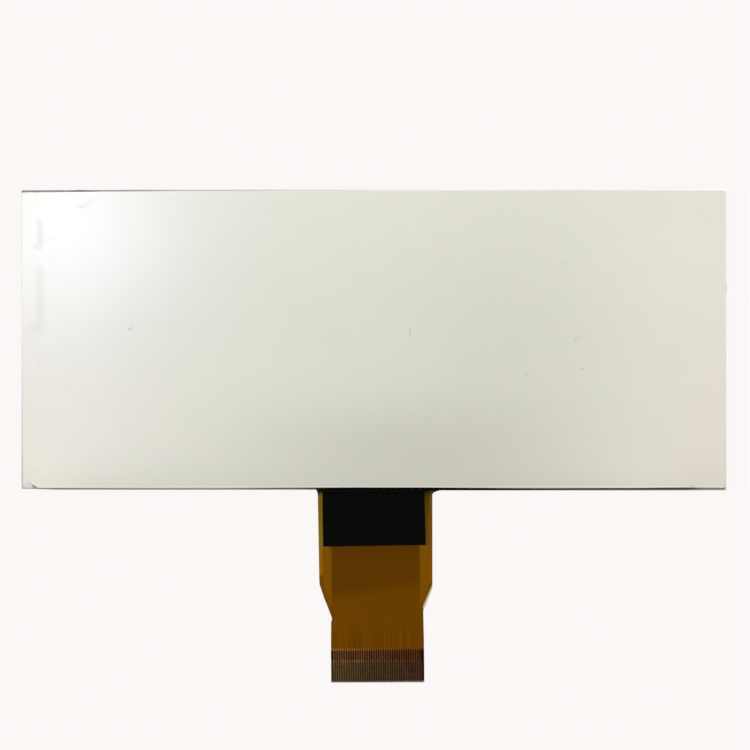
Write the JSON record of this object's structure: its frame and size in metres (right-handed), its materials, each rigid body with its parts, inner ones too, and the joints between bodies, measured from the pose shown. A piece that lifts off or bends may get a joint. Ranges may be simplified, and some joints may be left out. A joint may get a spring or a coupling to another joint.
{
  "type": "segment lcd panel",
  "caption": "Bare reflective segment LCD cell of two glass sheets with polarizers, and a flat flex tail with a row of fine-pitch contacts.",
  "frame": {"origin": "middle of the front face of the panel, on the front protective film, which is the face that it rests on", "axes": "+X along the long edge of the glass, +Y from the contact ledge towards the opposite long edge, +Z out of the rear face; the flex tail runs towards -Y"},
  "size_m": [0.1529, 0.107, 0.0028],
  "materials": {
    "clear_film": "clear peel-off film, soft gloss, with faint handling marks",
    "reflector_polarizer": "pale grey-green, soft sheen over a reflector",
    "cell_glass": "clear float glass, dark green-grey at the cut edges",
    "front_polarizer": "grey-green, smooth",
    "epoxy_seal": "cured epoxy, milky",
    "port_resin": "cured resin drop, dark amber",
    "liquid_crystal": "clear fluid",
    "clear_conductor": "clear conductive coating, faint",
    "conductive_paste": "silver-filled paste",
    "black_silicone": "matte black silicone",
    "bond_film": "cured adhesive film",
    "root_resin": "dark cured resin, semi-gloss",
    "amber_film": "amber polyimide, satin",
    "copper": "rolled copper",
    "amber_coverlay": "amber polyimide over copper, satin",
    "plating": "dull grey-brown plated contacts",
    "stiffener_plate": "brown polyimide plate",
    "black_tape": "matte black insulating tape"
  },
  "bodies": {
    "root": {"rear_protective_film": "clear_film", "rear_polarizer": "reflector_polarizer", "rear_glass": "cell_glass", "front_glass": "cell_glass", "front_polarizer": "front_polarizer", "front_protective_film": "clear_film", "perimeter_seal": "epoxy_seal", "end_seal": "port_resin", "liquid_crystal": "liquid_crystal", "segment_electrodes": "clear_conductor", "lead_tracks": "clear_conductor", "common_electrodes": "clear_conductor", "transfer_dots": "conductive_paste", "ledge_sealant": "black_silicone", "bond_film": "bond_film", "root_adhesive": "root_resin", "flex_base_film": "amber_film", "copper_traces": "copper", "coverlay": "amber_coverlay", "contact_plating": "plating", "stiffener": "stiffener_plate", "black_tape": "black_tape"}
  },
  "joints": []
}
